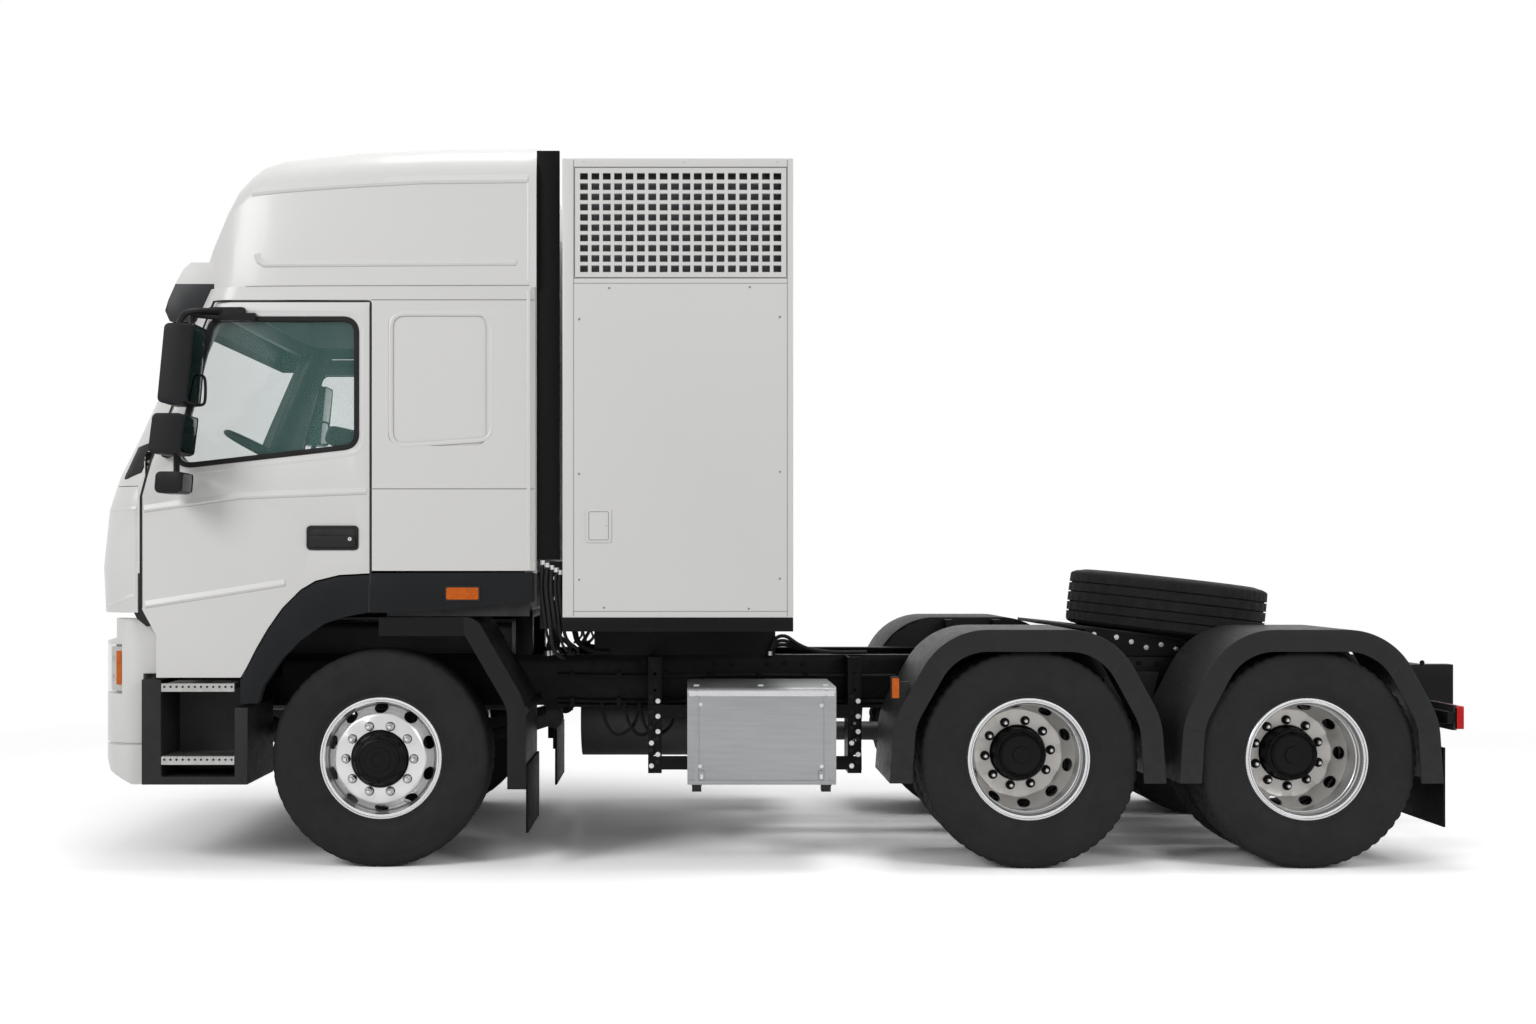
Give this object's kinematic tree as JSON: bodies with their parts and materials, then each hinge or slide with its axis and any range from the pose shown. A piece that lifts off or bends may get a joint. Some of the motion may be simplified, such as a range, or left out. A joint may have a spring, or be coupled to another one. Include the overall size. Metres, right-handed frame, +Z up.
{
  "type": "semi truck tractor unit",
  "caption": "White three-axle tractor unit with a high-roof sleeper cab, a tall cabinet behind the cab, twin rear wheels and a spare wheel lying on its fifth wheel.",
  "frame": {"origin": "on the ground, below the middle of the vehicle's length and width", "axes": "+X to the rear of the vehicle, -X to the front; +Y to the right-hand side of someone sitting in the cab, -Y to the left-hand side; +Z up"},
  "size_m": [7.048, 3.13, 3.585],
  "materials": {
    "white_paint": "gloss",
    "black_plastic": "satin",
    "dark_trim": "matt",
    "black_steel": "satin",
    "grey_castings": "rough",
    "tyre_rubber": "matt",
    "polished_wheel": "polished",
    "silver_box": "brushed",
    "tread_plate": "brushed",
    "cab_glass": "clear",
    "lamp_glass": "clear",
    "red_lamp": "gloss",
    "interior_grey": "matt",
    "seat_fabric": "woven",
    "rubber_flap": "matt",
    "battery_case": "satin",
    "drive_case": "satin"
  },
  "bodies": {
    "chassis": {"frame_rail_left": "black_steel", "frame_rail_right": "black_steel", "cross_members": "black_steel", "front_springs": "grey_castings", "bogie_springs": "grey_castings", "front_axle_beam": "grey_castings", "drive_axles": "grey_castings", "drive_units": "drive_case", "front_bumper": "white_paint", "headlamps": "lamp_glass", "step_boxes": "black_plastic", "step_treads": "tread_plate", "front_mudguards": "black_plastic", "mud_flaps": "rubber_flap", "rear_fenders": "black_plastic", "fender_arms": "black_steel", "tail_lamps": "red_lamp", "cabinet_base": "black_steel", "cabinet_shell": "white_paint", "cabinet_grilles": "white_paint", "battery_block": "battery_case", "side_box": "silver_box", "side_hangers": "black_steel", "air_tanks": "black_steel", "fifth_wheel_base": "black_steel"},
    "cab": {"cab_shell": "white_paint", "high_roof": "white_paint", "windscreen": "cab_glass", "corner_panels": "white_paint", "sun_visor": "white_paint", "cab_dark_trims": "dark_trim", "dashboard": "interior_grey", "seats_and_bunk": "seat_fabric"},
    "hatch": {"front_hatch": "white_paint"},
    "left_door": {"door_left": "white_paint", "door_glass_left": "cab_glass", "mirror_left": "black_plastic"},
    "right_door": {"door_right": "white_paint", "door_glass_right": "cab_glass", "mirror_right": "black_plastic"},
    "left_knuckle": {"knuckle_left": "grey_castings"},
    "right_knuckle": {"knuckle_right": "grey_castings"},
    "steering_link": {"tie_rod": "grey_castings"},
    "front_left_wheel": {"front_tyre_left": "tyre_rubber", "front_wheel_left": "polished_wheel"},
    "front_right_wheel": {"front_tyre_right": "tyre_rubber", "front_wheel_right": "polished_wheel"},
    "first_left_twins": {"twin_tyres_first_left": "tyre_rubber", "twin_wheels_first_left": "polished_wheel"},
    "first_right_twins": {"twin_tyres_first_right": "tyre_rubber", "twin_wheels_first_right": "polished_wheel"},
    "second_left_twins": {"twin_tyres_second_left": "tyre_rubber", "twin_wheels_second_left": "polished_wheel"},
    "second_right_twins": {"twin_tyres_second_right": "tyre_rubber", "twin_wheels_second_right": "polished_wheel"},
    "rocking_plate": {"fifth_wheel_plate": "grey_castings"},
    "spare": {"spare_tyre": "tyre_rubber", "spare_wheel": "polished_wheel"}
  },
  "joints": [
    {"name": "cab_tilt", "type": "hinge", "parent": "chassis", "child": "cab", "pos_m": [-3.259, 0, 0.95], "axis": [0, -1, 0], "range_deg": [0, 60]},
    {"name": "hatch_lift", "type": "hinge", "parent": "cab", "child": "hatch", "pos_m": [-3.44208, 0, 1.862], "axis": [0, 1, 0], "range_deg": [0, 65]},
    {"name": "left_door_swing", "type": "hinge", "parent": "cab", "child": "left_door", "pos_m": [-3.224, -1.229, 1.56], "axis": [0, 0, -1], "range_deg": [0, 75]},
    {"name": "right_door_swing", "type": "hinge", "parent": "cab", "child": "right_door", "pos_m": [-3.224, 1.229, 1.56], "axis": [0, 0, 1], "range_deg": [0, 75]},
    {"name": "left_steer", "type": "hinge", "parent": "chassis", "child": "left_knuckle", "pos_m": [-2.109, -0.855, 0.538], "axis": [0, 0, 1], "range_deg": [-40, 40]},
    {"name": "right_steer", "type": "hinge", "parent": "chassis", "child": "right_knuckle", "pos_m": [-2.109, 0.855, 0.538], "axis": [0, 0, 1], "range_deg": [-40, 40]},
    {"name": "tie_rod_pivot", "type": "hinge", "parent": "left_knuckle", "child": "steering_link", "pos_m": [-1.919, -0.855, 0.418], "axis": [0, 0, 1], "range_deg": [-40, 40]},
    {"name": "front_left_spin", "type": "hinge", "parent": "left_knuckle", "child": "front_left_wheel", "pos_m": [-2.109, -1.02, 0.538], "axis": [0, 1, 0], "continuous": true},
    {"name": "front_right_spin", "type": "hinge", "parent": "right_knuckle", "child": "front_right_wheel", "pos_m": [-2.109, 1.02, 0.538], "axis": [0, 1, 0], "continuous": true},
    {"name": "first_left_spin", "type": "hinge", "parent": "chassis", "child": "first_left_twins", "pos_m": [1.091, -0.892, 0.538], "axis": [0, 1, 0], "continuous": true},
    {"name": "first_right_spin", "type": "hinge", "parent": "chassis", "child": "first_right_twins", "pos_m": [1.091, 0.892, 0.538], "axis": [0, 1, 0], "continuous": true},
    {"name": "second_left_spin", "type": "hinge", "parent": "chassis", "child": "second_left_twins", "pos_m": [2.461, -0.892, 0.538], "axis": [0, 1, 0], "continuous": true},
    {"name": "second_right_spin", "type": "hinge", "parent": "chassis", "child": "second_right_twins", "pos_m": [2.461, 0.892, 0.538], "axis": [0, 1, 0], "continuous": true},
    {"name": "plate_rock", "type": "hinge", "parent": "chassis", "child": "rocking_plate", "pos_m": [1.751, 0, 1.095], "axis": [0, -1, 0], "range_deg": [0, 18]},
    {"name": "spare_lift", "type": "slide", "parent": "rocking_plate", "child": "spare", "axis": [0, 0, 1], "range_m": [0, 1.5]}
  ],
  "couplings": [
    {"joint": "right_steer", "follows": "left_steer", "ratio": 1},
    {"joint": "tie_rod_pivot", "follows": "left_steer", "ratio": -1}
  ]
}
